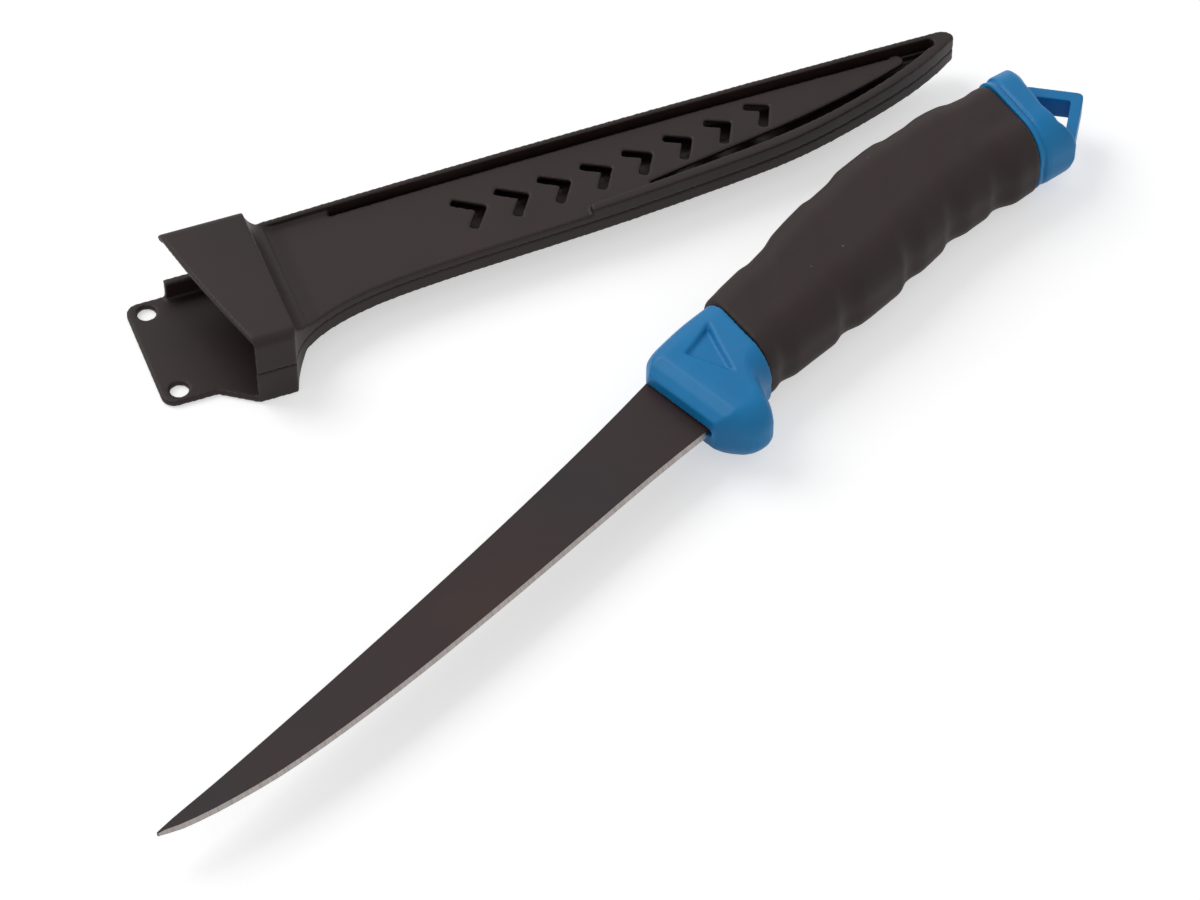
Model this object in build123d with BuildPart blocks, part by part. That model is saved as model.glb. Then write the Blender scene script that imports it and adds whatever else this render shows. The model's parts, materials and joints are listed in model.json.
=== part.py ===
from build123d import *
import math
import os

# Fillet knife with a moulded sheath. Millimetres, +Z up.
# The origin is midway between the two holes of the sheath's belt tab, on the plane it lies on.
# +X runs from the sheath's mouth to its tip and +Y to the side of the blade's spine.
# The knife lies on its side beside the sheath, as it does when it has just been drawn.

# Sizes that both halves share
fit_gap = 0.05           # clearance of moulded pieces that are assembled for good
cut_over = 1.0           # how far a cut runs past the face it opens

# Knife: where it lies
tip_x = -40.8            # the blade's tip, beside the sheath's belt tab
tip_y = -130.4
knife_turn = 24.1        # degrees from the sheath's length to the knife's

# Blade
blade_length = 152.0     # from the tip to the guard's face
heel_height = 19.6       # spine to edge at the guard
blade_thick = 1.9        # the stock, as the tang keeps it
edge_thick = 0.55        # behind the ground edge, at the belly
bevel_width = 1.0        # the bright ground edge, seen from the side
heel_seat = 2.0          # how far the heel sits inside the guard
choil_radius = 1.1       # the notch between the ground edge and the guard

# Blade outline: along the blade, then spine and edge in shares of the heel's height
blade_steps = 24         # straight stretches that it is made of
blade_step_growth_share = math.sqrt(2)  # over 1 the stretches are short ones towards the tip
blade_shares = [
    (0.000, 0.018, -0.020),
    (0.030, 0.040, -0.122),
    (0.100, 0.066, -0.245),
    (0.200, 0.118, -0.345),
    (0.360, 0.215, -0.385),
    (0.550, 0.347, -0.355),
    (0.750, 0.512, -0.280),
    (0.900, 0.660, -0.220),
    (1.000, 0.778, -0.204),
]

# Tang
tang_front_height = 9.0
tang_end_height = 8.0
tang_front_y = 8.2       # height of its centre line over the knife's axis, at the guard
tang_end_y = 12.5
pin_diameter = 4.0
pin_share = (0.42, 0.80) # places of the two pins along the tang

# Handle form, shared by the grip, the core and the end cap
guard_depth = 21.0       # from the guard's face to the grip, at the height of the joints
grip_length = 89.6       # from the guard to the end cap, at that height
joint_height = 9.0       # over the knife's axis
form_lead = 5.0          # how far the handle's form reaches past the joints, into the guard
form_trail = 15.4        # and into the end cap
tang_wall = 18.6         # solid core behind the tang's end
handle_half_height = 14.3
handle_half_thick = 10.0
handle_rise = 13.7       # height of the swell's centre over the knife's axis
corner_share = 0.80      # corner radius of a section, of its half thickness
core_corner_share = 0.47 # how far the core's corners are cut off, of its half thickness
rubber_wall = 2.8        # thickness of the soft grip over the core
front_lean = 9.0         # degrees that the front end of the grip lies back at the spine
rear_lean = 15.0         # and its rear end
form_steps = 12          # straight stretches that the form's outside is made of
core_steps = 5           # and those of the core in it

# Places that follow from these
front_joint = blade_length + guard_depth
rear_joint = front_joint + grip_length
handle_start = front_joint - form_lead
handle_length = form_lead + grip_length + form_trail
tang_length = guard_depth + grip_length - tang_wall

# Sections: along the form, centre, half height and half thickness. Over 1 the flank is flat.
handle_shares = [
    (0.000, 0.628, 0.804, 0.885),
    (0.200, 0.737, 0.874, 0.970),
    (0.400, 0.876, 1.000, 1.030),
    (0.582, 1.000, 0.972, 1.030),
    (0.745, 0.934, 0.937, 0.985),
    (0.891, 0.748, 0.885, 0.925),
    (1.000, 0.635, 0.902, 0.880),
]

# Guard
guard_length = 24.0      # from its face to the end of the blank, before the leaning cut
guard_height = 34.0      # from the finger guard's lowest point to the top
guard_low = -12.9        # the finger guard's lowest point under the knife's axis
guard_half_thick = 9.2
nose_half_thick = 4.0    # the flat of the guard's face
nose_step = 1.8          # depth of the steep facet beside it
nose_mid_half = 5.6
ridge_step = 4.2         # from the face to the ridge line
ridge_half = 7.0
front_spigot = (7.0, 6.8, 5.0)  # the core's peg in the guard: length, half height, half thickness
rear_spigot = (2.0, 5.5, 4.5)   # and its peg in the end cap
recess_half = 7.3        # from the knife's middle to the floor of the triangular recess
recess_round = 0.5

# Guard sections: along the guard, then lowest and highest point in shares of its height, and thickness
guard_steps = 16         # straight stretches that it is made of
guard_shares = [
    (0.00, 0.218, 0.838, 0.760),
    (0.12, 0.097, 0.928, 0.770),
    (0.20, 0.030, 0.950, 0.780),
    (0.28, 0.006, 0.960, 0.790),
    (0.38, 0.000, 0.968, 0.800),
    (0.45, 0.020, 0.973, 0.810),
    (0.51, 0.080, 0.977, 0.825),
    (0.57, 0.170, 0.979, 0.840),
    (0.62, 0.222, 0.980, 0.860),
    (0.70, 0.252, 0.980, 0.890),
    (0.84, 0.270, 0.977, 0.940),
    (1.00, 0.276, 0.972, 1.000),
]
recess_shares = [(0.337, 0.732), (0.700, 0.779), (0.471, 0.397)]

# End cap
cap_proud = 0.5          # how far its flange stands over the rubber
cap_flange = 2.4         # length of that flange
cap_step = 0.5           # how far the cap's body lies inside the flange
cap_lead = 6.6           # how far its blank starts before the joint, for the leaning cut
cap_length = 9.0         # from the joint to the middle of the end face
cap_height = 25.2
cap_low = -3.2           # lowest point under the knife's axis
cap_bevel = 1.9          # bevel round the end face
end_shares = [(1.66, 1.05), (1.02, 0.42), (1.22, -0.08)]

# Lanyard loop: a triangle of bars that springs from the end face
loop_half_thick = 2.8
loop_bar = 2.6           # width of the bars
loop_round = 1.8
loop_length = 11.9       # from the middle of the end face to the loop's point
loop_height = 20.2       # between its two roots
loop_low = -2.8          # the lower root, under the knife's axis
loop_shares = [(0.33, 1.0), (1.0, 0.43), (-0.12, 0.0), (-0.5, 0.535)]

# Sheath levels
seam_level = 9.0         # the parting face between the two shells
back_level = 5.4         # outside of the back, behind the blade
panel_level = 11.3       # outside of the tongue and the panel
rim_level = 12.8         # top of the rim round the panel
collar_level = 19.2      # top of the collar
wall = 1.7
panel_wall = 1.15
back_wall = 2.1
tab_thick = 1.5

# Sheath plan
tab_left = 4.3           # from the holes' line to the tab's free edge
tab_half_width = 15.5
tab_corner = 3.0
hole_spacing = 24.0
hole_diameter = 4.2
mouth_top_x = 5.6        # the mouth's slanted edge, at the spine side
mouth_low_x = 15.4       # and at the edge side
mouth_bulge = 0.6
collar_top_x = 24.8      # where the collar ends, at the spine side
collar_low_x = 24.3
collar_top_y = 18.2
collar_low_y = -20.9
collar_round = 2.2
sheath_length = 195.6    # from the holes' line to the tip
ramp_end = 33.5          # where the ramp from the collar reaches the panel
back_ramp_end = 28.4     # where the collar's underside has risen to the back
tip_round = 2.8
tip_round_share = 0.97   # the most of the tip's height that its round may take

# Body outline: along the sheath and across it, in shares of its length and of the tip's height
body_height = 21.2       # the spine side at the tip, over the holes' middle
spine_shares = [(0.148, 0.890), (0.50, 0.976), (0.76, 1.0), (0.97, 0.998), (1.0, 0.995)]
throat_shares = [(0.1365, -0.775), (0.160, -0.600), (0.205, -0.433)]
belly_shares = [(0.205, -0.433), (0.307, -0.292), (0.51, -0.189), (0.670, -0.062), (0.775, 0.071)]
nose_shares = [(0.775, 0.071), (0.853, 0.264), (0.955, 0.618), (1.0, 0.858)]

# Rim, tongue and slots
spine_rim = 1.3          # width of the rim along the spine side
slot_width = 1.5         # the slot along the spine side
slot_start_x = 44.3
lip_shares = [(0.506, -0.085), (0.60, -0.005), (0.665, 0.055), (0.762, 0.172), (0.864, 0.408), (0.966, 0.807)]
tongue_low_shares = [(0.584, 0.062), (0.665, 0.193), (0.762, 0.344), (0.864, 0.557), (0.925, 0.728)]

# Chevron windows
chevron_count = 8
chevron_row_share = (0.3988, 0.7584)  # where their row starts and ends, along the sheath
chevron_first_y = 7.3
chevron_climb = 6.9      # how far their curved row rises
chevron_turns = (10.5, 20.0)  # degrees that the first and the last point up
chevron_half_angle = 44.5
chevron_upper_arms = (8.1, 5.8)  # first and last
chevron_lower_arms = (7.4, 6.9)
chevron_stroke = 2.0

# Blade pocket
pocket_floor = back_level + back_wall
pocket_roof = panel_level - panel_wall
funnel_end = 29.0        # where the collar's inside has narrowed to the pocket
funnel_start = 22.0
rib_height = 0.4         # the guide rib on the pocket's floor
rib_width = 1.6
rib_row_share = (0.307, 0.767)  # where it starts and ends, along the sheath
rib_y = 9.0

# Raised wall beside the belt tab, under the gap in the collar's spine side
side_wall_x = 5.3
side_wall_y = 14.2
side_wall_thick = 1.8
side_wall_level = 6.2
side_gap_end = 20.0
side_gap_top = 16.8

os.makedirs("parts", exist_ok=True)

# The knife's own plane: x from the tip to the pommel, y to the spine, z up
turn = math.radians(knife_turn)
knife_plane = Plane(
    origin=(tip_x, tip_y, handle_half_thick),
    x_dir=(math.cos(turn), math.sin(turn), 0),
    z_dir=(0, 0, 1),
)
# The same origin, seen from the edge side: x along the knife and y up
knife_side_plane = Plane(
    origin=knife_plane.origin,
    x_dir=knife_plane.x_dir,
    z_dir=-knife_plane.y_dir,
)


def knife_station(along, height, lean=0):
    """A plane across the knife with its x to the spine; with a lean it lies back at the spine."""
    tilt = math.radians(lean)
    return Plane(
        origin=knife_plane.from_local_coords((along, height, 0)),
        x_dir=knife_plane.y_dir * math.cos(tilt) + knife_plane.x_dir * math.sin(tilt),
        z_dir=knife_plane.x_dir * math.cos(tilt) - knife_plane.y_dir * math.sin(tilt),
    )


def scaled(shares, length, height, start_x=0, start_y=0):
    """Outline points from shares of a length and a height."""
    return [(start_x + length * along, start_y + height * across) for along, across in shares]


def moved_in(points, amount):
    """Outline points moved square to the outline, to the left of its direction."""
    moved = []
    for before, (x, y), after in zip(points[:1] + points, points, points[1:] + points[-1:]):
        run, climb = after[0] - before[0], after[1] - before[1]
        step = amount / math.hypot(run, climb)
        moved.append((x - step * climb, y + step * run))
    return moved


def smooth_row(table, along):
    """The values of a table of sections at any place along it, on a smooth curve through its rows."""
    last = len(table) - 1
    index = max(i for i in range(last) if table[i][0] <= along)
    start, end = table[index], table[index + 1]
    before, after = table[max(index - 1, 0)], table[min(index + 2, last)]
    span = end[0] - start[0]
    place = (along - start[0]) / span
    values = []
    for back, low, high, front in zip(before[1:], start[1:], end[1:], after[1:]):
        leaving = span * (high - back) / (end[0] - before[0])
        arriving = span * (front - low) / (after[0] - start[0])
        from_start = (low * (1 + 2 * place) + leaving * place) * (1 - place) ** 2
        to_end = (high * (3 - 2 * place) + arriving * (place - 1)) * place**2
        values.append(from_start + to_end)
    return values


def tang_outline(grow):
    """Corners of the tang, from inside the heel to its end, with its wall moved out by grow."""
    start = blade_length + heel_seat / 2
    end = blade_length + tang_length + grow
    front_half = tang_front_height / 2 + grow
    end_half = tang_end_height / 2 + grow
    return [
        (start, tang_front_y - front_half),
        (end, tang_end_y - end_half),
        (end, tang_end_y + end_half),
        (start, tang_front_y + front_half),
    ]


# Blade: sections from tip to heel, then the tang
belly_share = min(edge for _, _, edge in blade_shares)
grind_height = heel_height * (blade_shares[-1][1] - belly_share)
grind_slope = (blade_thick - edge_thick) / grind_height
with BuildPart() as blade:
    for step in range(blade_steps + 1):
        along_share = (step / blade_steps) ** blade_step_growth_share
        spine_share, edge_share = smooth_row(blade_shares, along_share)
        spine_y = heel_height * spine_share
        edge_y = heel_height * edge_share
        depth = min(bevel_width, (spine_y - edge_y) / 2)
        over_belly = heel_height * (spine_share - belly_share)
        spine_half = (edge_thick + grind_slope * over_belly) / 2 * (1 - grind_slope)
        edge_half = spine_half - grind_slope * (spine_y - edge_y - depth) / 2
        with BuildSketch(knife_station(blade_length * along_share, 0)):
            Polygon(
                (spine_y, spine_half),
                (edge_y + depth, edge_half),
                (edge_y, 0),
                (edge_y + depth, -edge_half),
                (spine_y, -spine_half),
                align=None,
            )
    loft(ruled=True)
    heel_face = blade.faces().sort_by(Axis(knife_plane.origin, knife_plane.x_dir))[-1]
    extrude(heel_face, amount=heel_seat)
    with BuildSketch(knife_plane.offset(-blade_thick / 2)):
        with Locations((blade_length, heel_height * blade_shares[-1][2])):
            Circle(choil_radius)
    extrude(amount=blade_thick, mode=Mode.SUBTRACT)
    with BuildSketch(knife_plane.offset(-blade_thick / 2)):
        Polygon(*tang_outline(0), align=None)
    extrude(amount=blade_thick)
    for share in pin_share:
        pin_place = (blade_length + tang_length * share, tang_front_y + (tang_end_y - tang_front_y) * share)
        with BuildSketch(knife_plane.offset(-blade_thick)):
            with Locations(pin_place):
                Circle(pin_diameter / 2 + fit_gap)
        extrude(amount=2 * blade_thick, mode=Mode.SUBTRACT)

# Room for the heel and the tang in the pieces that hold them
slot_half = blade_thick / 2 + fit_gap
with BuildPart() as tang_room:
    with BuildSketch(knife_plane.offset(-slot_half)):
        Polygon(*tang_outline(fit_gap), align=None)
    extrude(amount=2 * slot_half)
    with BuildSketch(knife_plane.offset(-slot_half)):
        Polygon(
            (blade_length - cut_over, heel_height * blade_shares[-1][2] - fit_gap),
            (blade_length + heel_seat + fit_gap, heel_height * blade_shares[-1][2] - fit_gap),
            (blade_length + heel_seat + fit_gap, heel_height * blade_shares[-1][1] + fit_gap),
            (blade_length - cut_over, heel_height * blade_shares[-1][1] + fit_gap),
            align=None,
        )
    extrude(amount=2 * slot_half)


def even_places(steps):
    """Places along the knife that divide the handle's form into equal stretches."""
    return [handle_start + handle_length * step / steps for step in range(steps + 1)]


def form_station(place, grow):
    """A plane across the handle, with its half height and half thickness there, moved out by grow."""
    centre_share, height_share, thick_share = smooth_row(handle_shares, (place - handle_start) / handle_length)
    half_height = handle_half_height * height_share + grow
    half_thick = handle_half_thick * min(1, thick_share) + grow
    return knife_station(place, handle_rise * centre_share), half_height, half_thick


def handle_form(grow, places):
    """The handle's swelling form between some places, with its wall moved out by grow."""
    with BuildPart() as form:
        for place in places:
            plane, half_height, half_thick = form_station(place, grow)
            with BuildSketch(plane):
                RectangleRounded(2 * half_height, 2 * half_thick, corner_share * half_thick)
        loft(ruled=True)
    return form.part


def core_form(grow):
    """The core's form under the rubber, with its corners cut off straight, moved out by grow."""
    with BuildPart() as form:
        for place in even_places(core_steps):
            plane, half_height, half_thick = form_station(place, grow - rubber_wall)
            with BuildSketch(plane):
                Rectangle(2 * half_height, 2 * half_thick)
                chamfer(vertices(), core_corner_share * half_thick)
        loft(ruled=True)
    return form.part


def form_between(form, front_plane, rear_plane):
    """The length of a form between two planes across it."""
    with BuildPart() as length_of_form:
        add(form)
        split(bisect_by=front_plane, keep=Keep.TOP)
        split(bisect_by=rear_plane, keep=Keep.BOTTOM)
    return length_of_form.part


def spigot(joint, sizes, direction, clearance):
    """A rounded peg through a joint of the handle, along the knife's axis."""
    length, half_height, half_thick = sizes
    with BuildPart() as peg:
        with BuildSketch(knife_station(joint - direction * lean_room, joint_height)):
            height, thick = half_height + clearance, half_thick + clearance
            RectangleRounded(2 * height, 2 * thick, corner_share * thick)
        extrude(amount=direction * (length + 2 * lean_room + clearance))
    return peg.part


def pin_rods(radius, half_length):
    """The two pins through the core and the tang."""
    with BuildPart() as rods:
        for share in pin_share:
            place = (blade_length + tang_length * share, tang_front_y + (tang_end_y - tang_front_y) * share)
            with BuildSketch(knife_plane.offset(-half_length)):
                with Locations(place):
                    Circle(radius)
            extrude(amount=2 * half_length)
    return rods.part


lean_room = front_spigot[1] * math.sin(math.radians(rear_lean))
front_cut = knife_station(front_joint, joint_height, front_lean)
rear_cut = knife_station(rear_joint, joint_height, rear_lean)

# Core: rigid moulding round the tang, with a spigot at each end
with BuildPart() as handle_core:
    add(form_between(core_form(-fit_gap), front_cut, rear_cut))
    add(spigot(front_joint, front_spigot, -1, 0))
    add(spigot(rear_joint, rear_spigot, 1, 0))
    add(tang_room.part, mode=Mode.SUBTRACT)
    add(pin_rods(pin_diameter / 2 + fit_gap, handle_half_thick), mode=Mode.SUBTRACT)

# Pins: driven through the core and the tang before the rubber goes over them
pin_half = handle_half_thick * handle_shares[1][3] - rubber_wall - 2 * fit_gap
with BuildPart() as tang_pins:
    add(pin_rods(pin_diameter / 2, pin_half))

# Grip: the soft overmould between the guard and the end cap
with BuildPart() as grip_sleeve:
    add(form_between(handle_form(0, even_places(form_steps)), front_cut, rear_cut))
    add(core_form(0), mode=Mode.SUBTRACT)

# Guard: a blank that swells down into the finger guard, then its faceted nose
with BuildPart() as guard:
    for step in range(guard_steps + 1):
        low_share, top_share, thick_share = smooth_row(guard_shares, step / guard_steps)
        low = guard_low + guard_height * low_share
        top = guard_low + guard_height * top_share
        half_thick = guard_half_thick * thick_share
        along = blade_length + guard_length * step / guard_steps
        with BuildSketch(knife_station(along, (low + top) / 2)):
            RectangleRounded(top - low, 2 * half_thick, corner_share * half_thick)
    loft(ruled=True)
    with BuildSketch(knife_side_plane):
        Polygon(
            (blade_length, -nose_half_thick),
            (blade_length, nose_half_thick),
            (blade_length + nose_step, nose_mid_half),
            (blade_length + ridge_step, ridge_half),
            (blade_length + guard_length, guard_half_thick),
            (blade_length + guard_length, -guard_half_thick),
            (blade_length + ridge_step, -ridge_half),
            (blade_length + nose_step, -nose_mid_half),
            align=None,
        )
    extrude(amount=2 * guard_height, both=True, mode=Mode.INTERSECT)
    split(bisect_by=front_cut, keep=Keep.BOTTOM)
    add(tang_room.part, mode=Mode.SUBTRACT)
    add(spigot(front_joint, front_spigot, -1, fit_gap), mode=Mode.SUBTRACT)
    recess = scaled(recess_shares, guard_length, guard_height, blade_length, guard_low)
    for side in (-1, 1):
        with BuildSketch(knife_plane.offset(side * recess_half)):
            Polygon(*recess, align=None)
            fillet(vertices(), recess_round)
        extrude(amount=side * guard_half_thick, mode=Mode.SUBTRACT)

# End cap: a flange against the rubber, a body a step smaller, and the lanyard loop
end_line = scaled(end_shares, cap_length, cap_height, rear_joint, cap_low)
with BuildPart() as end_cap:
    add(handle_form(cap_proud - cap_step, (rear_joint - cap_lead, handle_start + handle_length)))
    split(bisect_by=rear_cut, keep=Keep.TOP)
    with BuildSketch(knife_plane.offset(-handle_half_thick)):
        with BuildLine():
            ThreePointArc(*end_line)
            Polyline(
                end_line[2],
                (rear_joint - cap_length, end_line[2][1]),
                (rear_joint - cap_length, end_line[0][1]),
                end_line[0],
            )
        make_face()
    extrude(amount=2 * handle_half_thick, mode=Mode.INTERSECT)
    end_face = end_cap.faces().filter_by(GeomType.CYLINDER).sort_by(SortBy.AREA)[-1]
    chamfer(end_face.edges(), cap_bevel)
    with BuildSketch(knife_plane.offset(-loop_half_thick)):
        Polygon(*scaled(loop_shares, loop_length, loop_height, rear_joint + cap_length, loop_low), align=None)
        fillet(vertices(), loop_round)
        offset(amount=-loop_bar, mode=Mode.SUBTRACT)
    extrude(amount=2 * loop_half_thick)
    flange = handle_form(cap_proud, even_places(form_steps))
    add(form_between(flange, rear_cut, rear_cut.offset(cap_flange)))
    add(spigot(rear_joint, rear_spigot, 1, fit_gap), mode=Mode.SUBTRACT)

# Sheath

# Where the outlines run, from their shares
spine_line = scaled(spine_shares, sheath_length, body_height)
belly_line = [(collar_low_x, collar_low_y)]
belly_line += scaled(throat_shares + belly_shares[1:] + nose_shares[1:], sheath_length, body_height)
spine_line.reverse()
inner_spine = moved_in(spine_line, spine_rim)[1:]
tongue_top = moved_in(inner_spine, slot_width)
room_spine = moved_in(spine_line, wall)[1:]
room_belly = moved_in(belly_line, wall)[:-1]
lip_line = scaled(lip_shares, sheath_length, body_height)
tongue_low = scaled(tongue_low_shares, sheath_length, body_height)

# The outline of the whole sheath, seen from above
with BuildSketch() as footprint:
    with BuildLine():
        Line((mouth_low_x, collar_low_y), belly_line[0])
        Spline(*belly_line)
        Line(belly_line[-1], spine_line[0])
        Spline(*spine_line)
        Polyline(spine_line[-1], (collar_top_x, collar_top_y), (mouth_top_x, collar_top_y))
        mouth_mid = ((mouth_top_x + mouth_low_x) / 2 - mouth_bulge, (collar_top_y + collar_low_y) / 2)
        ThreePointArc((mouth_top_x, collar_top_y), mouth_mid, (mouth_low_x, collar_low_y))
    make_face()
    tip_height = belly_line[-1][1] - spine_line[0][1]
    fillet(vertices().sort_by(Axis.X)[-2:].sort_by(Axis.Y)[-1], min(tip_round, tip_round_share * abs(tip_height)))

# Its form: the outline, cut to the side view with the collar's ramps
side_span = 2 * (body_height - collar_low_y)
with BuildPart() as sheath_form:
    add(footprint.sketch)
    extrude(amount=collar_level)
    with BuildSketch(Plane.XZ):
        with BuildLine():
            ramp_top = (collar_top_x, collar_level)
            ramp_mid = ((collar_top_x + ramp_end) / 2 - wall, (collar_level + panel_level) / 2 - wall)
            ThreePointArc(ramp_top, ramp_mid, (ramp_end, panel_level))
            Polyline(
                (ramp_end, panel_level),
                (sheath_length + cut_over, panel_level),
                (sheath_length + cut_over, back_level),
                (back_ramp_end, back_level),
                (collar_low_x, 0),
                (0, 0),
                (0, collar_level),
                ramp_top,
            )
        make_face()
    extrude(amount=side_span, both=True, mode=Mode.INTERSECT)
    with BuildSketch(Plane.YZ):
        Polygon(
            (collar_low_y, 0),
            (body_height + cut_over, 0),
            (body_height + cut_over, panel_level),
            (collar_top_y, panel_level),
            (collar_top_y, collar_level),
            (collar_low_y, collar_level),
            align=None,
        )
        fillet(vertices().group_by(Axis.Y)[-1], collar_round)
    extrude(amount=sheath_length + cut_over, mode=Mode.INTERSECT)

# The room inside: the collar's pocket, a funnel and the blade's pocket
with BuildPart() as room:
    with BuildSketch():
        with BuildLine():
            Polyline(
                room_belly[0],
                (0, room_belly[0][1]),
                (0, collar_top_y - wall),
                (collar_top_x, collar_top_y - wall),
                room_spine[-1],
            )
            Spline(*reversed(room_spine))
            Spline(*room_belly)
            Line(room_belly[-1], room_spine[0])
        make_face()
    extrude(amount=collar_level)
    with BuildSketch(Plane.XZ):
        Polygon(
            (0, tab_thick),
            (funnel_start, tab_thick),
            (funnel_end, pocket_floor),
            (sheath_length, pocket_floor),
            (sheath_length, pocket_roof),
            (funnel_end, pocket_roof),
            (funnel_start, collar_level - wall),
            (0, collar_level - wall),
            align=None,
        )
    extrude(amount=side_span, both=True, mode=Mode.INTERSECT)

# The gap in the collar's spine side, beside the mouth
with BuildPart() as side_gap:
    with BuildSketch():
        Polygon(
            (0, side_wall_y + side_wall_thick),
            (side_gap_end, side_wall_y + side_wall_thick),
            (side_gap_end, body_height),
            (0, body_height),
            align=None,
        )
    extrude(amount=side_gap_top)

# The opening inside the rim, from the collar to the tip
with BuildSketch() as rim_opening:
    with BuildLine():
        Spline(*inner_spine)
        Polyline(
            inner_spine[-1],
            (inner_spine[-1][0], collar_low_y),
            (lip_line[0][0] - spine_rim, collar_low_y),
            lip_line[0],
        )
        Spline(*lip_line)
        rim_tip = ((inner_spine[0][0] + lip_line[-1][0]) / 2 + spine_rim, (inner_spine[0][1] + lip_line[-1][1]) / 2)
        ThreePointArc(lip_line[-1], rim_tip, inner_spine[0])
    make_face()

# The tongue, with all of the panel that it springs from
with BuildSketch() as tongue:
    with BuildLine():
        tongue_back = (tongue_low[-1][0] - slot_width, tongue_top[0][1])
        Spline(tongue_back, *tongue_top[1:])
        Polyline(
            tongue_top[-1],
            (tongue_top[-1][0], collar_low_y),
            (tongue_low[0][0], collar_low_y),
            tongue_low[0],
        )
        Spline(*tongue_low)
        apex = (tongue_low[-1][0] + slot_width, (tongue_back[1] + tongue_low[-1][1]) / 2)
        ThreePointArc(tongue_low[-1], apex, tongue_back)
    make_face()
    Polygon(
        (0, collar_low_y),
        (slot_start_x, collar_low_y),
        (slot_start_x, body_height),
        (0, body_height),
        align=None,
    )


def chevron(upper, lower):
    """Points of one chevron that points along x, with its tip at the origin."""
    half = math.radians(chevron_half_angle)
    away, out = math.cos(half), math.sin(half)
    back, inward = chevron_stroke * out, chevron_stroke * away
    return [
        (0, 0),
        (-upper * away, upper * out),
        (-upper * away - back, upper * out - inward),
        (-chevron_stroke / out, 0),
        (-lower * away - back, inward - lower * out),
        (-lower * away, -lower * out),
    ]


def between(ends, share):
    """The value at a share of the way from the first to the last."""
    return ends[0] + (ends[1] - ends[0]) * share


# Front shell: collar front, panel with tongue and windows, and the rim
with BuildPart() as sheath_front:
    add(sheath_form.part)
    split(bisect_by=Plane.XY.offset(seam_level), keep=Keep.TOP)
    with BuildSketch(Plane.XY.offset(seam_level)):
        add(footprint.sketch)
        add(rim_opening.sketch, mode=Mode.SUBTRACT)
    extrude(amount=rim_level - seam_level)
    add(room.part, mode=Mode.SUBTRACT)
    add(side_gap.part, mode=Mode.SUBTRACT)
    with BuildSketch(Plane.XY.offset(pocket_roof - panel_wall)):
        add(rim_opening.sketch)
        add(tongue.sketch, mode=Mode.SUBTRACT)
    extrude(amount=collar_level, mode=Mode.SUBTRACT)
    with BuildSketch(Plane.XY.offset(pocket_roof - panel_wall)):
        for count in range(chevron_count):
            share = count / (chevron_count - 1)
            tip_x = sheath_length * between(chevron_row_share, share)
            tip = (tip_x, chevron_first_y + chevron_climb * share**2)
            points = chevron(between(chevron_upper_arms, share), between(chevron_lower_arms, share))
            with Locations(tip):
                Polygon(*points, rotation=between(chevron_turns, share), align=None)
    extrude(amount=collar_level, mode=Mode.SUBTRACT)

# Back shell: collar back, the blade pocket's floor, the belt tab and its raised wall
with BuildPart() as sheath_back:
    add(sheath_form.part)
    split(bisect_by=Plane.XY.offset(seam_level), keep=Keep.BOTTOM)
    add(room.part, mode=Mode.SUBTRACT)
    add(side_gap.part, mode=Mode.SUBTRACT)
    with BuildSketch():
        with BuildLine():
            Polyline(
                (-tab_left, tab_half_width),
                (side_wall_x, tab_half_width),
                (side_gap_end, tab_half_width),
                (mouth_low_x, collar_low_y),
                (mouth_low_x - tab_half_width / 2, -tab_half_width),
                (-tab_left, -tab_half_width),
                close=True,
            )
        make_face()
        fillet(vertices().group_by(Axis.X)[0], tab_corner)
        with Locations((0, hole_spacing / 2), (0, -hole_spacing / 2)):
            Circle(hole_diameter / 2, mode=Mode.SUBTRACT)
    extrude(amount=tab_thick)
    with BuildSketch():
        Polygon(
            (side_wall_x, side_wall_y),
            (funnel_start, side_wall_y),
            (funnel_start, side_wall_y + side_wall_thick),
            (side_wall_x, side_wall_y + side_wall_thick),
            align=None,
        )
    extrude(amount=side_wall_level)
    rib_start, rib_end = (sheath_length * share for share in rib_row_share)
    with BuildSketch(Plane.XY.offset(pocket_floor - rib_height)):
        Polygon(
            (rib_start, rib_y),
            (rib_end, rib_y),
            (rib_end, rib_y + rib_width),
            (rib_start, rib_y + rib_width),
            align=None,
        )
    extrude(amount=2 * rib_height)

pieces = {
    "blade": blade,
    "tang_pins": tang_pins,
    "handle_core": handle_core,
    "grip_sleeve": grip_sleeve,
    "guard": guard,
    "end_cap": end_cap,
    "sheath_front_shell": sheath_front,
    "sheath_back_shell": sheath_back,
}
for name, piece in pieces.items():
    piece.part.label = name
    export_step(piece.part, f"parts/{name}.step")
    print(name, round(piece.part.volume), len(piece.solids()))
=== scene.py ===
# %% [markdown]
# # A fillet knife and its moulded sheath
# The exact solids come from the CAD frame. This notebook gives them their soft moulded edges,
# the hollows of the grip and their finishes, and sets the camera where the photograph was taken.
# We load the frame first.

# %% Load the frame
import json
import math

import bmesh
import bpy
import numpy as np
from mathutils import Matrix, Vector
from mathutils.bvhtree import BVHTree


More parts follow.
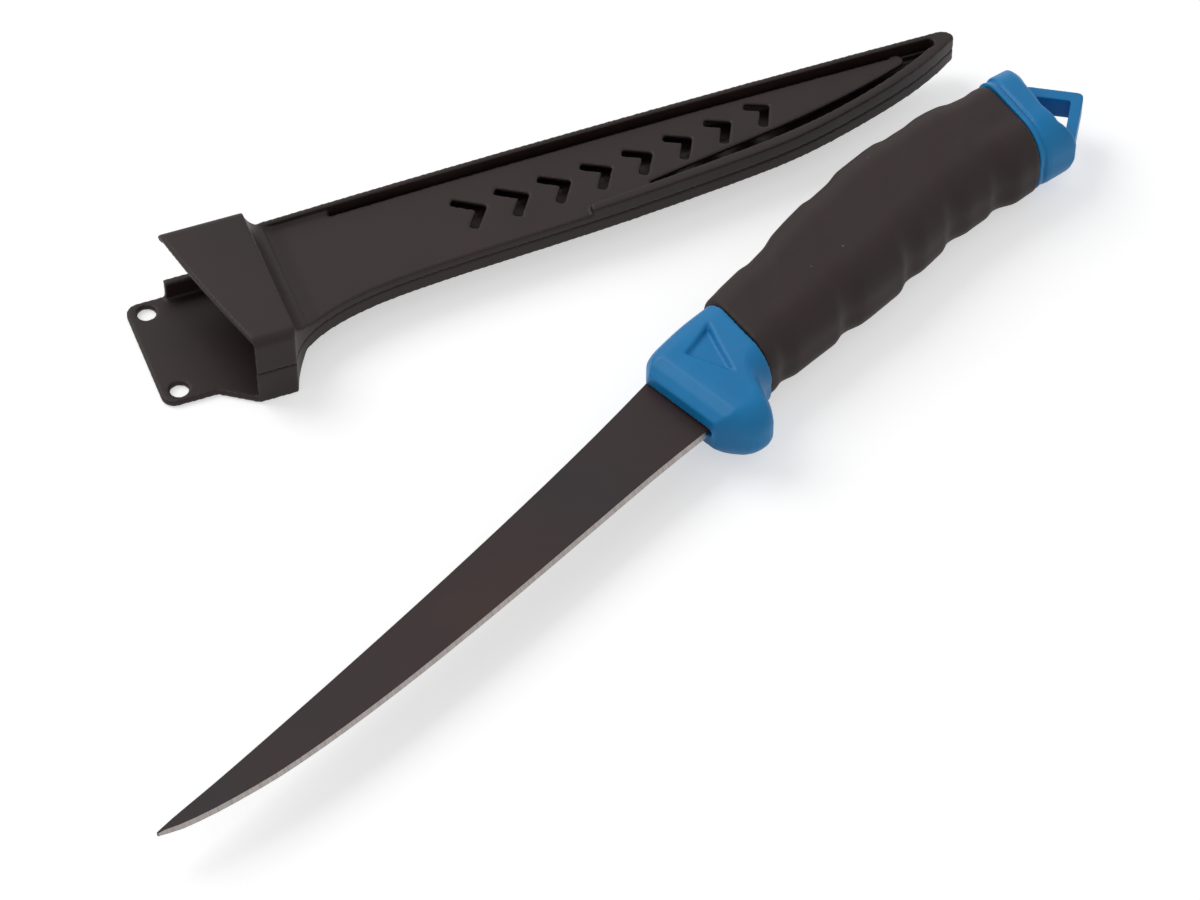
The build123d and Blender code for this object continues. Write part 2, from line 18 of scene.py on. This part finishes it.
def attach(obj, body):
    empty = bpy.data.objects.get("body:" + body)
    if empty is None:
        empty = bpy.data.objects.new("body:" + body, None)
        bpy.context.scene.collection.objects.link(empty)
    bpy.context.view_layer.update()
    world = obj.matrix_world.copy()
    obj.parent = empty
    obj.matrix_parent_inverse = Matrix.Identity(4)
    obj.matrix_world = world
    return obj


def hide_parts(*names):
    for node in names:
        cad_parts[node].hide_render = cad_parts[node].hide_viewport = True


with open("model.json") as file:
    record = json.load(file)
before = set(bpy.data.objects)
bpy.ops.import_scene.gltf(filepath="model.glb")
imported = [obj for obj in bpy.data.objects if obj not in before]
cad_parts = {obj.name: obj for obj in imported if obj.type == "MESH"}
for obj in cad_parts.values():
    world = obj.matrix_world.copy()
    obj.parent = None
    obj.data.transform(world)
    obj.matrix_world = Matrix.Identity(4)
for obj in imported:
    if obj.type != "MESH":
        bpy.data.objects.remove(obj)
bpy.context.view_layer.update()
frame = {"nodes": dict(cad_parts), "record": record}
MM = 0.001
scene = bpy.context.scene
print("nodes", sorted(frame["nodes"]))

# %% [markdown]
# ## Camera
# The photograph looks down at 49 degrees from almost a metre away, with a long lens. These values
# come from the straight edges of the sheath and the blade, so the render lies on the photograph.

# %% Place the camera
camera_place = Vector((-146.30, -650.19, 727.24)) * MM
camera_target = Vector((79.22, -59.60, 0)) * MM
lens_mm = 135
camera_data = bpy.data.cameras.new("photo_camera")
camera_data.lens = lens_mm
camera_data.sensor_width = 36
camera_data.clip_start = 0.05
camera_data.clip_end = 20
camera = bpy.data.objects.new("photo_camera", camera_data)
camera.location = camera_place
camera.rotation_euler = (camera_target - camera_place).to_track_quat("-Z", "Y").to_euler()
scene.collection.objects.link(camera)
scene.camera = camera
print("camera distance", round((camera_target - camera_place).length, 3))

# %% [markdown]
# ## The knife's own coordinates
# The knife lies on its side, turned in plan. Its details are easier to place along the knife than
# along the world, so we change points to millimetres from the blade's tip, towards the spine and up,
# and back again.


# %% Knife coordinate helpers
knife_turn = math.radians(24.1)
tip_mm = np.array([-40.8, -130.4, 10.0])
knife_axes = np.array([
    [math.cos(knife_turn), math.sin(knife_turn), 0],
    [-math.sin(knife_turn), math.cos(knife_turn), 0],
    [0, 0, 1],
])


def knife_points(mesh):
    """A mesh's points: millimetres from the tip along the knife, towards the spine, and up."""
    points = np.empty(len(mesh.vertices) * 3)
    mesh.vertices.foreach_get("co", points)
    return (points.reshape(-1, 3) / MM - tip_mm) @ knife_axes.T


def knife_normals(mesh):
    """A mesh's normals at its points, along the same three directions."""
    normals = np.empty(len(mesh.vertices) * 3)
    mesh.vertices.foreach_get("normal", normals)
    return normals.reshape(-1, 3) @ knife_axes.T


def set_knife_points(mesh, points):
    """Puts points from the knife's coordinates back into a mesh."""
    mesh.vertices.foreach_set("co", ((points @ knife_axes + tip_mm) * MM).ravel())
    mesh.update()


def rise(value, start, end):
    """A smooth step from 0 to 1 as a value goes from start to end."""
    share = np.clip((value - start) / (end - start), 0, 1)
    return share * share * (3 - 2 * share)


def relaxed(mesh, points, amounts, rounds):
    """Points drawn towards the middle of their neighbours, each by its own amount."""
    ends = np.empty(len(mesh.edges) * 2, dtype=np.int64)
    mesh.edges.foreach_get("vertices", ends)
    first, second = ends.reshape(-1, 2).T
    neighbours = np.bincount(ends, minlength=len(points))[:, None]
    for _ in range(rounds):
        total = np.stack([
            np.bincount(first, points[second, i], len(points))
            + np.bincount(second, points[first, i], len(points))
            for i in range(3)
        ], axis=1)
        points = points + 0.5 * amounts[:, None] * (total / neighbours - points)
    return points


# %% [markdown]
# ## Small helpers for materials
# Colours are written as the hex values that a colour picker reads from a picture, and one function
# turns them into the linear numbers that Blender's shaders work in. A second one adds a node with
# its settings and links, and the others build on it, which keeps each material short enough to read.


# %% Colour and node helpers
def linear(hex_colour):
    """A hex sRGB colour as linear RGBA."""
    channels = [int(hex_colour[i:i + 2], 16) / 255 for i in (1, 3, 5)]
    return [c / 12.92 if c <= 0.04045 else ((c + 0.055) / 1.055) ** 2.4 for c in channels] + [1]


def add_node(material, kind, settings=None, **inputs):
    """Adds a node. Inputs are values, or outputs of other nodes.

    In an input's name _ stands for a space, and n0 or n1 is the input of that number.
    """
    tree = material.node_tree
    node = tree.nodes.new(kind)
    for name, value in (settings or {}).items():
        setattr(node, name, value)
    for name, value in inputs.items():
        key = int(name[1:]) if name[0] == "n" and name[1:].isdigit() else name.replace("_", " ")
        if isinstance(value, bpy.types.NodeSocket):
            tree.links.new(value, node.inputs[key])
        else:
            node.inputs[key].default_value = value
    return node


def new_finish(name):
    """An empty material, and the object's own coordinates in it."""
    material = bpy.data.materials.new(name)
    material.use_nodes = True
    material.node_tree.nodes.clear()
    place = add_node(material, "ShaderNodeTexCoord").outputs["Object"]
    return material, place


def finish_with(material, shader):
    """Links a shader to the material's output."""
    add_node(material, "ShaderNodeOutputMaterial", Surface=shader.outputs[0])
    print("material", material.name)


def finish_as(material, **inputs):
    """Finishes a material with one Principled shader."""
    finish_with(material, add_node(material, "ShaderNodeBsdfPrincipled", **inputs))


def per_metre(size_mm):
    """The scale of a texture whose pattern repeats every so many millimetres."""
    return 1 / (size_mm * MM)


def noise(material, place, size_mm, detail, roughness=0.5):
    """The value of a noise pattern of this size."""
    return add_node(material, "ShaderNodeTexNoise", Vector=place, Scale=per_metre(size_mm),
                    Detail=detail, Roughness=roughness).outputs["Fac"]


def two_tone(material, value, dark, light, start=0.0, end=1.0):
    """A colour that goes from dark to light as a pattern's value goes from start to end."""
    node = add_node(material, "ShaderNodeValToRGB", Fac=value)
    for index, position, colour in ((0, start, dark), (1, end, light)):
        node.color_ramp.elements[index].position = position
        node.color_ramp.elements[index].color = linear(colour)
    return node.outputs["Color"]


def spread(material, value, low, high, start=0.3, end=0.7):
    """A number that goes from low to high as a pattern's value goes from start to end."""
    return add_node(material, "ShaderNodeMapRange", Value=value, From_Min=start, From_Max=end,
                    To_Min=low, To_Max=high).outputs["Result"]


def relief(material, height, strength, depth_mm):
    """The normal of a surface that carries a pattern this deep."""
    return add_node(material, "ShaderNodeBump", Height=height, Strength=strength,
                    Distance=depth_mm * MM).outputs["Normal"]


# %% [markdown]
# ## Sheath: injection-moulded polypropylene
# The sheath is tough black polypropylene. The mould was spark-eroded, which leaves a fine even grain,
# so it has a dull sheen and no sharp reflections. Slow cooling leaves soft clouds in the gloss.

# %% Moulded polypropylene
sheath_plastic, place = new_finish("moulded_polypropylene_black")
grain_mm = 0.45
cloud_mm = 22
grain = noise(sheath_plastic, place, grain_mm, detail=3, roughness=0.6)
clouds = noise(sheath_plastic, place, cloud_mm, detail=4)
finish_as(
    sheath_plastic,
    Base_Color=two_tone(sheath_plastic, clouds, "#231817", "#2e2120", 0.3, 0.75),
    Roughness=spread(sheath_plastic, clouds, 0.44, 0.54),
    Normal=relief(sheath_plastic, grain, strength=0.25, depth_mm=0.04),
    IOR=1.49,
    Specular_IOR_Level=0.3,
)

# %% [markdown]
# ## Grip: soft thermoplastic rubber
# The grip is moulded over the core in a soft black elastomer. It is duller than the sheath, with a
# skin that scatters light, a faint mottle, and a speck of dust here and there.

# %% Soft grip rubber
grip_rubber, place = new_finish("overmoulded_elastomer_black")
skin_mm = 0.35
mottle_mm = 9
dust_mm = 11
skin = noise(grip_rubber, place, skin_mm, detail=2)
mottle = noise(grip_rubber, place, mottle_mm, detail=5, roughness=0.55)
specks = add_node(grip_rubber, "ShaderNodeTexVoronoi", Vector=place, Scale=per_metre(dust_mm))
dust = spread(grip_rubber, specks.outputs["Distance"], 0.5, 0, 0.02, 0.035)
rubber_colour = two_tone(grip_rubber, mottle, "#281e1d", "#342827", 0.3, 0.72)
dusty_colour = add_node(grip_rubber, "ShaderNodeMixRGB", Fac=dust, Color1=rubber_colour,
                        Color2=linear("#8d8784"))
finish_as(
    grip_rubber,
    Base_Color=dusty_colour.outputs["Color"],
    Roughness=spread(grip_rubber, mottle, 0.56, 0.66),
    Normal=relief(grip_rubber, skin, strength=0.3, depth_mm=0.03),
    IOR=1.5,
    Specular_IOR_Level=0.28,
)

# %% [markdown]
# ## Guard and end cap: dyed ABS
# Both are moulded in a blue ABS that is coloured right through. The satin mould gives broad, soft
# highlights, and the dye is a touch uneven.

# %% Dyed ABS
blue_plastic, place = new_finish("moulded_abs_blue")
satin_mm = 0.4
flow_mm = 15
satin = noise(blue_plastic, place, satin_mm, detail=2)
flow = noise(blue_plastic, place, flow_mm, detail=3)
finish_as(
    blue_plastic,
    Base_Color=two_tone(blue_plastic, flow, "#0a7cba", "#1289c8", 0.3, 0.7),
    Roughness=spread(blue_plastic, flow, 0.4, 0.47),
    Normal=relief(blue_plastic, satin, strength=0.2, depth_mm=0.02),
    IOR=1.54,
    Specular_IOR_Level=0.3,
)

# %% [markdown]
# ## Blade: black non-stick coating on stainless steel
# The flanks of the blade are sprayed with a black fluoropolymer coating, which is baked on and has a
# fine pebbled skin. It is an opaque skin on metal, so its shader is a plain dielectric. Baking tints it
# unevenly, from a cool black to a warm one.

# %% Non-stick coating
blade_coat, place = new_finish("baked_fluoropolymer_coating")
pebble_mm = 0.3
coat_cloud_mm = 40
pebble = noise(blade_coat, place, pebble_mm, detail=2)
coat_cloud = noise(blade_coat, place, coat_cloud_mm, detail=3)
finish_as(
    blade_coat,
    Base_Color=two_tone(blade_coat, coat_cloud, "#2b282c", "#3c2b28", 0.3, 0.7),
    Roughness=spread(blade_coat, pebble, 0.4, 0.5),
    Normal=relief(blade_coat, pebble, strength=0.25, depth_mm=0.02),
    IOR=1.38,
    Specular_IOR_Level=0.4,
)

# %% [markdown]
# ## Ground edge: bare stainless steel
# Grinding takes the coating off along the edge and leaves fine scratches square to it. They are far
# finer than a pixel on the real blade, so they are drawn a fifth of a millimetre apart.

# %% Ground steel
ground_steel, place = new_finish("ground_stainless_edge")
scratch_mm = 0.2
scratch_length_mm = 6
along_blade = add_node(
    ground_steel, "ShaderNodeMapping", Vector=place, Rotation=(0, 0, -knife_turn),
    Scale=(per_metre(scratch_mm), per_metre(scratch_length_mm), per_metre(scratch_length_mm)),
)
scratches = add_node(ground_steel, "ShaderNodeTexNoise", Vector=along_blade.outputs[0], Scale=1,
                     Detail=3).outputs["Fac"]
finish_as(
    ground_steel,
    Base_Color=two_tone(ground_steel, scratches, "#8e8886", "#aca5a2", 0.3, 0.7),
    Metallic=1.0,
    Roughness=spread(ground_steel, scratches, 0.28, 0.42),
    Normal=relief(ground_steel, scratches, strength=0.3, depth_mm=0.02),
)

# %% [markdown]
# ## Hidden pieces: glass-filled nylon core and drawn steel pins
# The grip hides both, but each has its own finish, so that the knife also looks right taken apart.

# %% Core and pin finishes
core_nylon, place = new_finish("glass_filled_nylon")
fibre_mm = 0.8
fibres = noise(core_nylon, place, fibre_mm, detail=4)
finish_as(
    core_nylon,
    Base_Color=two_tone(core_nylon, fibres, "#222224", "#3a3a3d"),
    Roughness=0.55,
    Normal=relief(core_nylon, fibres, strength=0.3, depth_mm=0.05),
    IOR=1.53,
)
pin_steel, place = new_finish("drawn_steel_pin")
drawn_mm = 0.5
drawn = noise(pin_steel, place, drawn_mm, detail=2)
finish_as(
    pin_steel,
    Base_Color=two_tone(pin_steel, drawn, "#a09fa0", "#c9c8c6"),
    Metallic=1.0,
    Roughness=spread(pin_steel, drawn, 0.25, 0.4, 0.0, 1.0),
)


# %% [markdown]
# ## Soft moulded edges
# No moulded piece has a razor-sharp corner, and it is the thin line of light along a rounded edge that
# makes plastic look real. A bevel could round the edges one by one, but it stops at the shortest edge
# that it meets, and many curved faces meet here. So we copy a CAD node's mesh, remesh the copy in small
# voxels and smooth it, which rounds every edge at once, convex or hollow. The voxels' grid is turned
# out of line with the piece, so that no long edge runs almost along it and turns into steps.


# %% Remeshing helpers
weld_mm = 0.004
grid_slant = Matrix.Rotation(0.5, 4, Vector((0.3, 0.5, 1.0)))


def piece_body(node):
    """The body that a CAD node belongs to."""
    return next(b for b, nodes in frame["record"]["behaviour"]["bodies"].items() if node in nodes)


def apply_modifier(piece, kind, **settings):
    """Adds a modifier with its settings and applies it."""
    modifier = piece.modifiers.new(kind.lower(), kind)
    for name, value in settings.items():
        setattr(modifier, name, value)
    bpy.context.view_layer.objects.active = piece
    bpy.ops.object.modifier_apply(modifier=modifier.name)


def dress(piece, material):
    """Gives a piece one finish and smooth shading."""
    piece.data.materials.clear()
    piece.data.materials.append(material)
    for polygon in piece.data.polygons:
        polygon.use_smooth = True
    print(piece.name, len(piece.data.polygons), "faces")


def remeshed_copy(node, name, material, voxel_mm, smoothing, kept=1.0):
    """A copy of a CAD node, remeshed and smoothed, with a share of its faces kept, shown in its place."""
    piece = bpy.data.objects.new(name, frame["nodes"][node].data.copy())
    scene.collection.objects.link(piece)
    piece.data.transform(grid_slant)
    apply_modifier(piece, "WELD", merge_threshold=weld_mm * MM)
    apply_modifier(piece, "REMESH", mode="VOXEL", voxel_size=voxel_mm * MM)
    apply_modifier(piece, "SMOOTH", factor=0.5, iterations=smoothing)
    apply_modifier(piece, "DECIMATE", ratio=kept)
    piece.data.transform(grid_slant.inverted())
    dress(piece, material)
    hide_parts(node)
    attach(piece, piece_body(node))
    return piece


# %% [markdown]
# ## Sheath
# The two shells keep the CAD shape, with small rounds on every edge. The line between them stays
# visible as a fine groove, as where two mouldings are welded together.

# %% Make the sheath's shells
front_shell = remeshed_copy("sheath_front_shell", "sheath_front", sheath_plastic,
                            voxel_mm=0.3, smoothing=10, kept=0.35)
back_shell = remeshed_copy("sheath_back_shell", "sheath_back", sheath_plastic,
                           voxel_mm=0.3, smoothing=10, kept=0.35)

# %% [markdown]
# ## Guard
# The guard is smoothed less than the sheath, so that the facets of its nose stay clear. The nose and
# the finger lobe keep the CAD shape, and the side towards the spine is lowered a little afterwards.

# %% Make the guard
finger_guard = remeshed_copy("guard", "finger_guard", blue_plastic, voxel_mm=0.3, smoothing=5)

# %% [markdown]
# The guard's triangular recess is as deep at its front as at its rear, and its walls slope. We fit a
# plane to the flank round it and sink the points inside the triangle under that plane.


# %% Sink the triangular recess
def inside_distance(points, corners):
    """How far points lie inside a triangle whose corners go round to the left."""
    distances = []
    for start, end in zip(corners, corners[1:] + corners[:1]):
        run, climb = end[0] - start[0], end[1] - start[1]
        across = run * (points[:, 1] - start[1]) - climb * (points[:, 0] - start[0])
        distances.append(across / math.hypot(run, climb))
    return np.min(distances, axis=0)


recess_corners = [(159.7, 12.2), (163.6, -0.6), (169.5, 14.3)]
recess_depth = 1.15
wall_width = 0.9
spine_drop = 0.55
flank_height = 6
flank_facing = 0.8
guard_points = knife_points(finger_guard.data)
guard_normals = knife_normals(finger_guard.data)
inside = inside_distance(guard_points, recess_corners)
places = np.column_stack([guard_points[:, 0], guard_points[:, 1], np.ones(len(guard_points))])
for side in (-1, 1):
    height = side * guard_points[:, 2]
    # The flank is read in a band round the triangle, clear of the recess's own rim
    on_flank = (height > flank_height) & (side * guard_normals[:, 2] > flank_facing)
    near = (inside > -2) & (inside < -0.7) & on_flank
    plane = np.linalg.lstsq(places[near], height[near], rcond=None)[0]
    floor_height = places @ plane - recess_depth * rise(inside, 0, wall_width)
    sunk = (inside > 0) & (height > 5)
    guard_points[sunk, 2] = side * np.minimum(height, floor_height)[sunk]
guard_points[:, 1] -= spine_drop * rise(guard_points[:, 1], 7, 15)
rounding = rise(inside, -1.2, -0.4)
guard_points = relaxed(finger_guard.data, guard_points, rounding, rounds=3)
set_knife_points(finger_guard.data, guard_points)
print("points in the recess", int(np.sum(inside > 0)))

# %% [markdown]
# ## End cap
# The cap is a lip against the grip, a groove, and a body that ends in a hollow curve, from which the
# loop springs. All of it is one moulding with soft rounds. We cut the CAD cap short, round and groove
# it, then remesh it together with a new ring, and smoothing fills the corner where the two meet.


# %% Helpers that make a solid from an outline
def rounded_outline(corners, radius, steps=6):
    """The points of a closed outline whose corners are rounded."""
    points = []
    for before, corner, after in zip(corners[-1:] + corners[:-1], corners, corners[1:] + corners[:1]):
        corner = Vector(corner)
        to_before, to_after = Vector(before) - corner, Vector(after) - corner
        half = to_before.angle(to_after) / 2
        start = corner + to_before.normalized() * radius / math.tan(half)
        end = corner + to_after.normalized() * radius / math.tan(half)
        for step in range(steps + 1):
            share = step / steps
            points.append(start * (1 - share) ** 2 + corner * 2 * share * (1 - share) + end * share**2)
    return points


def knife_prism(name, outline, half_thick, hole=()):
    """A closed solid from an outline in the knife's plane, with an optional hole of as many points."""
    rings = []
    for ring in (outline, hole):
        for level in (-half_thick, half_thick):
            rings.append([(x, y, level) for x, y in ring])
    points = np.array([point for ring in rings for point in ring])
    count = len(outline)
    faces = []
    for i in range(count):
        j = (i + 1) % count
        faces.append((i, j, count + j, count + i))
        if hole:
            faces.append((2 * count + j, 2 * count + i, 3 * count + i, 3 * count + j))
            faces.append((i, 2 * count + i, 2 * count + j, j))
            faces.append((count + j, 3 * count + j, 3 * count + i, count + i))
    if not hole:
        faces.append(tuple(reversed(range(count))))
        faces.append(tuple(range(count, 2 * count)))
    mesh = bpy.data.meshes.new(name)
    mesh.from_pydata([tuple(point) for point in (points @ knife_axes + tip_mm) * MM], [], faces)
    shell = bmesh.new()
    shell.from_mesh(mesh)
    bmesh.ops.recalc_face_normals(shell, faces=shell.faces)
    shell.to_mesh(mesh)
    shell.free()
    solid = bpy.data.objects.new(name, mesh)
    scene.collection.objects.link(solid)
    return solid


# %% Cut the cap short
end_arc = [
    (278.6, 27.0), (274.9, 19.0), (271.2, 12.5), (268.9, 6.5), (268.3, 1.0), (271.4, -5.0), (275.0, -10.0),
]
beyond_end = knife_prism("beyond_end", end_arc + [(300.0, -10.0), (300.0, 27.0)], half_thick=15)
loop_cap = bpy.data.objects.new("loop_cap", frame["nodes"]["end_cap"].data.copy())
scene.collection.objects.link(loop_cap)
apply_modifier(loop_cap, "WELD", merge_threshold=weld_mm * MM)
apply_modifier(loop_cap, "BOOLEAN", object=beyond_end, operation="DIFFERENCE", solver="EXACT")
cut_voxel_mm = 0.3
apply_modifier(loop_cap, "REMESH", mode="VOXEL", voxel_size=cut_voxel_mm * MM)
bpy.data.objects.remove(beyond_end)
cap_points = knife_points(loop_cap.data)
print("cap points", len(cap_points), cap_points.min(axis=0), cap_points.max(axis=0))


# %% Round and groove it
joint_place = np.array([262.6, 9.0])
joint_lean = math.radians(15)


def behind_joint(points):
    """How far points lie behind the leaning joint between the grip and the cap."""
    along = (points[:, 0] - joint_place[0]) * math.cos(joint_lean)
    return along - (points[:, 1] - joint_place[1]) * math.sin(joint_lean)


# The lip is set in a little, the groove lies deeper, and the body swells out over both
lip_inset = 0.2
groove_depth = 0.8
body_swell = 1.45
centre_height = 9.6
cap_points = relaxed(loop_cap.data, cap_points, rise(behind_joint(cap_points), 3.5, 6.0), rounds=4)
set_knife_points(loop_cap.data, cap_points)
back = behind_joint(cap_points)
outward = knife_normals(loop_cap.data)
axis_share = np.abs(outward[:, 0] * math.cos(joint_lean) - outward[:, 1] * math.sin(joint_lean))
from_middle = outward[:, 1] * (cap_points[:, 1] - centre_height) + outward[:, 2] * cap_points[:, 2]
outside = (from_middle > 0) & (back > 0.3)
push = -lip_inset * rise(back, 0.2, 0.9) - groove_depth * rise(back, 1.3, 1.8)
push = push + body_swell * rise(back, 2.0, 2.6)
push = push * outside * (1 - axis_share)
cap_points = cap_points + outward * push[:, None]
cap_points = relaxed(loop_cap.data, cap_points, np.ones(len(cap_points)), rounds=2)
set_knife_points(loop_cap.data, cap_points)
print("furthest out", round(float(push.max()), 2), "mm, deepest in", round(float(push.min()), 2), "mm")

# %% Add the loop and join it
loop_corners = [(275.5, 17.4), (283.5, 5.9), (270.2, -2.8), (265.6, 8.0)]
hole_corners = [(274.9, 13.1), (279.6, 6.4), (268.2, -1.1), (266.8, 6.0)]
ring = knife_prism("loop_ring", rounded_outline(loop_corners, radius=1.6), half_thick=2.8,
                   hole=rounded_outline(hole_corners, radius=0.5))
apply_modifier(ring, "BEVEL", width=0.7 * MM, segments=3, limit_method="ANGLE", angle_limit=math.radians(50))
bpy.ops.object.select_all(action="DESELECT")
ring.select_set(True)
loop_cap.select_set(True)
bpy.context.view_layer.objects.active = loop_cap
bpy.ops.object.join()
bpy.ops.object.select_all(action="DESELECT")
join_voxel_mm = 0.22
apply_modifier(loop_cap, "REMESH", mode="VOXEL", voxel_size=join_voxel_mm * MM)
joined_points = knife_points(loop_cap.data)
joined_points = relaxed(loop_cap.data, joined_points, np.ones(len(joined_points)), rounds=3)
set_knife_points(loop_cap.data, joined_points)
dress(loop_cap, blue_plastic)
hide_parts("end_cap")
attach(loop_cap, "knife")

# %% [markdown]
# ## Grip
# The grip has shallow hollows that run round it on a slant, about a finger's width apart, with low
# swells between them. We remesh the CAD sleeve, and first find how far up its height each point lies.

# %% Make the grip
soft_grip = remeshed_copy("grip_sleeve", "soft_grip", grip_rubber, voxel_mm=0.5, smoothing=4)
grip_points = knife_points(soft_grip.data)
grip_normals = knife_normals(soft_grip.data)
station_mm = 2.0
stations = np.arange(160, 275, station_mm)
station = np.digitize(grip_points[:, 0], stations)
filled = [i for i in range(len(stations) + 1) if np.any(station == i)]
middles = (np.append(stations, stations[-1] + station_mm) - station_mm / 2)[filled]
low = np.interp(grip_points[:, 0], middles, [grip_points[station == i, 1].min() for i in filled])
high = np.interp(grip_points[:, 0], middles, [grip_points[station == i, 1].max() for i in filled])
up = np.clip((grip_points[:, 1] - low) / (high - low), 0, 1)
print("grip height", round(float((high - low).max()), 1), "mm")

# %% [markdown]
# Then we push each point in or out along its normal. The hollows are deepest at the grip's outline
# and shallow on its flank, they fade out towards both ends, and each is held back where the rubber
# under it is thin. A last light smoothing evens the skin.

# %% Press the hollows into it
# Where each hollow starts on the edge side and ends on the spine side, along the knife
hollows = [(176.0, 193.5), (197.0, 217.5), (218.0, 242.5), (233.5, 262.0), (248.5, 281.0)]
hollow_depth = 0.85
swell = 0.2
end_step = 0.2
corner_swell = 0.75
front_place = (173.0, 9.0)
front_lean = math.radians(9)
from_centre = grip_normals[:, 1] * (grip_points[:, 1] - (low + high) / 2)
outer = from_centre + grip_normals[:, 2] * grip_points[:, 2] > 0
dip = np.zeros(len(grip_points))
for at_edge, at_spine in hollows:
    centre = at_edge + (at_spine - at_edge) * up**1.3
    half_width = 2.6 + 2.2 * up
    gap = grip_points[:, 0] - centre
    front_slope = rise(gap, -half_width - 1.6, -half_width + 2.2)
    dip = np.maximum(dip, front_slope * rise(-gap, -half_width - 2.6, -half_width + 2.6))
steep = np.abs(grip_normals[:, 1])
strength = np.where(grip_normals[:, 1] > 0, 0.2 + 0.35 * steep, 0.15 + 0.7 * steep)
front_gap = (
    (grip_points[:, 0] - front_place[0]) * math.cos(front_lean)
    - (grip_points[:, 1] - front_place[1]) * math.sin(front_lean)
)
end_gap = np.minimum(front_gap, -behind_joint(grip_points))
sink = hollow_depth * dip * strength - swell * (1 - dip) * steep**2
sink = sink * rise(end_gap, 2.0, 6.0) + end_step * (1 - rise(end_gap, 0, 1.0))
rear_corner = rise(grip_points[:, 0], 246, 254)
sink -= corner_swell * rear_corner * (1 - rise(up, 0.1, 0.45)) * rise(end_gap, -0.3, 0.5)

# %% Keep the rubber's wall and set the points
least_wall = 0.8
ray_start = 0.2
ray_reach = 3
walls = BVHTree.FromPolygons(
    [tuple(point) for point in grip_points], [tuple(polygon.vertices) for polygon in soft_grip.data.polygons],
)
for i in np.flatnonzero(outer & (sink > 0)):
    inward = -Vector(grip_normals[i])
    hit = walls.ray_cast(Vector(grip_points[i]) + ray_start * inward, inward, ray_reach)
    if hit[3] is not None:
        sink[i] = min(sink[i], max(0, hit[3] + ray_start - least_wall))
grip_points = grip_points - grip_normals * (sink * outer)[:, None]
grip_points = relaxed(soft_grip.data, grip_points, np.ones(len(grip_points)), rounds=3)
set_knife_points(soft_grip.data, grip_points)
print("deepest hollow", round(float(sink.max()), 2), "mm")

# %% [markdown]
# ## Blade
# The blade keeps its CAD mesh. Its ground edge is the narrow band of faces that lean more than the
# flanks do, so these faces get the bare steel and all others the coating.

# %% Finish the blade
blade = frame["nodes"]["blade"]
blade.data.materials.clear()
blade.data.materials.append(blade_coat)
blade.data.materials.append(ground_steel)
flank_lean = math.cos(math.radians(6))
upright = 0.3
bare_faces = 0
for polygon in blade.data.polygons:
    leans = upright < abs(polygon.normal.z) < flank_lean
    polygon.material_index = 1 if leans else 0
    bare_faces += leans
print("bare faces on the blade", bare_faces)

# %% Finish the hidden pieces
for node, material in (("handle_core", core_nylon), ("tang_pins", pin_steel)):
    data = frame["nodes"][node].data
    data.materials.clear()
    data.materials.append(material)
    print("finished", node)

# %% [markdown]
# ## Floor and light
# The ground in the photograph is white and the light on it soft, so we use a pale room and two large
# lamps. The floor and the room look brighter to the camera, straight or in a reflection, than the
# light that they give, so the ground reads as white. It still takes a faint shadow of the object.


# %% Lay the floor
def seen_share(shaded):
    """1 for what the camera sees, straight, off a gloss or through glass, and 0 for other light."""
    rays = add_node(shaded, "ShaderNodeLightPath")
    mirrored = add_node(shaded, "ShaderNodeMath", {"operation": "MAXIMUM"},
                        n0=rays.outputs["Is Glossy Ray"], n1=rays.outputs["Is Transmission Ray"])
    return add_node(shaded, "ShaderNodeMath", {"operation": "MAXIMUM"},
                    n0=rays.outputs["Is Camera Ray"], n1=mirrored.outputs[0]).outputs[0]


floor_white, place = new_finish("white_floor")
paper_mm = 1.5
floor_glow = 0.52
paper = noise(floor_white, place, paper_mm, detail=2)
paper_shader = add_node(floor_white, "ShaderNodeBsdfDiffuse",
                        Color=two_tone(floor_white, paper, "#e6e6e6", "#e9e9e9"))
lift = add_node(floor_white, "ShaderNodeMath", {"operation": "MULTIPLY"}, n0=seen_share(floor_white),
                n1=floor_glow)
glow = add_node(floor_white, "ShaderNodeEmission", Strength=lift.outputs[0])
finish_with(floor_white, add_node(
    floor_white, "ShaderNodeAddShader", n0=paper_shader.outputs[0], n1=glow.outputs[0],
))
floor_half = 1.6
floor_level = -0.02 * MM
floor_mesh = bpy.data.meshes.new("floor")
floor_mesh.from_pydata(
    [(x * floor_half, y * floor_half, floor_level) for x, y in ((-1, -1), (1, -1), (1, 1), (-1, 1))],
    [], [(0, 1, 2, 3)],
)
floor = bpy.data.objects.new("floor", floor_mesh)
floor_mesh.materials.append(floor_white)
scene.collection.objects.link(floor)

# %% Light it
room_strength = 0.38
world = bpy.data.worlds.new("soft_room")
scene.world = world
world.use_nodes = True
world.node_tree.nodes.clear()
room_light = add_node(world, "ShaderNodeBackground", Color=(1, 1, 1, 1), Strength=room_strength)
room_white = add_node(world, "ShaderNodeBackground", Color=(1, 1, 1, 1), Strength=1)
room = add_node(world, "ShaderNodeMixShader", Fac=seen_share(world), n1=room_light.outputs[0],
                n2=room_white.outputs[0])
add_node(world, "ShaderNodeOutputWorld", Surface=room.outputs[0])


def soft_lamp(name, place, size, watts):
    """A square lamp that looks at the middle of the picture."""
    data = bpy.data.lights.new(name, "AREA")
    data.shape = "SQUARE"
    data.size = size
    data.energy = watts
    lamp = bpy.data.objects.new(name, data)
    lamp.location = place
    lamp.rotation_euler = (camera_target - Vector(place)).to_track_quat("-Z", "Y").to_euler()
    scene.collection.objects.link(lamp)
    print(name, watts, "W")


soft_lamp("key_lamp", (-0.45, 0.65, 1.0), size=0.9, watts=7.2)
soft_lamp("fill_lamp", (0.75, -0.75, 0.8), size=0.8, watts=0.3)
scene.view_settings.view_transform = "Standard"
